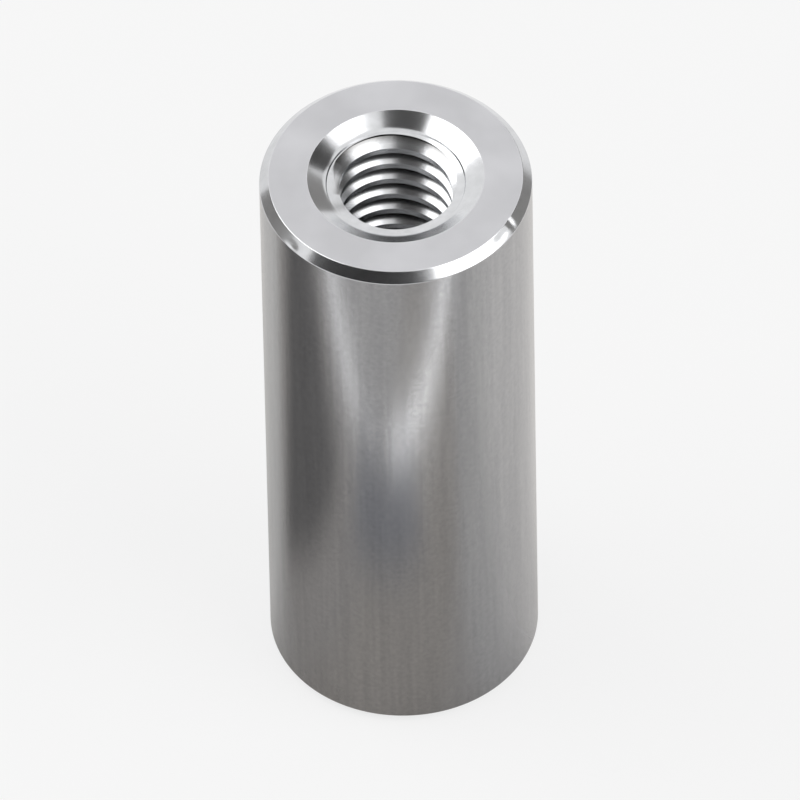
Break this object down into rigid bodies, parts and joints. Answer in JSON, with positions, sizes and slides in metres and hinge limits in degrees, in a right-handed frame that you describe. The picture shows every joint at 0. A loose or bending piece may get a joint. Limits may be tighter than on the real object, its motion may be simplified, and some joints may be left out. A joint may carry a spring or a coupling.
{
  "type": "round threaded standoff",
  "caption": "Round satin aluminium standoff with a threaded through hole, countersunk at each end, flat faced ends and narrow chamfers round its outer edges.",
  "frame": {"origin": "centre of the lower end face, on the axis of the hole", "axes": "+Z along the threaded hole, from the lower end face to the upper one; the part is round, so X and Y are any two directions across it"},
  "size_m": [0.012, 0.012, 0.03],
  "materials": {
    "aluminium_bar": "satin drawn bar with bright turned faces and chamfers"
  },
  "bodies": {
    "root": {"standoff": "aluminium_bar"}
  },
  "joints": []
}
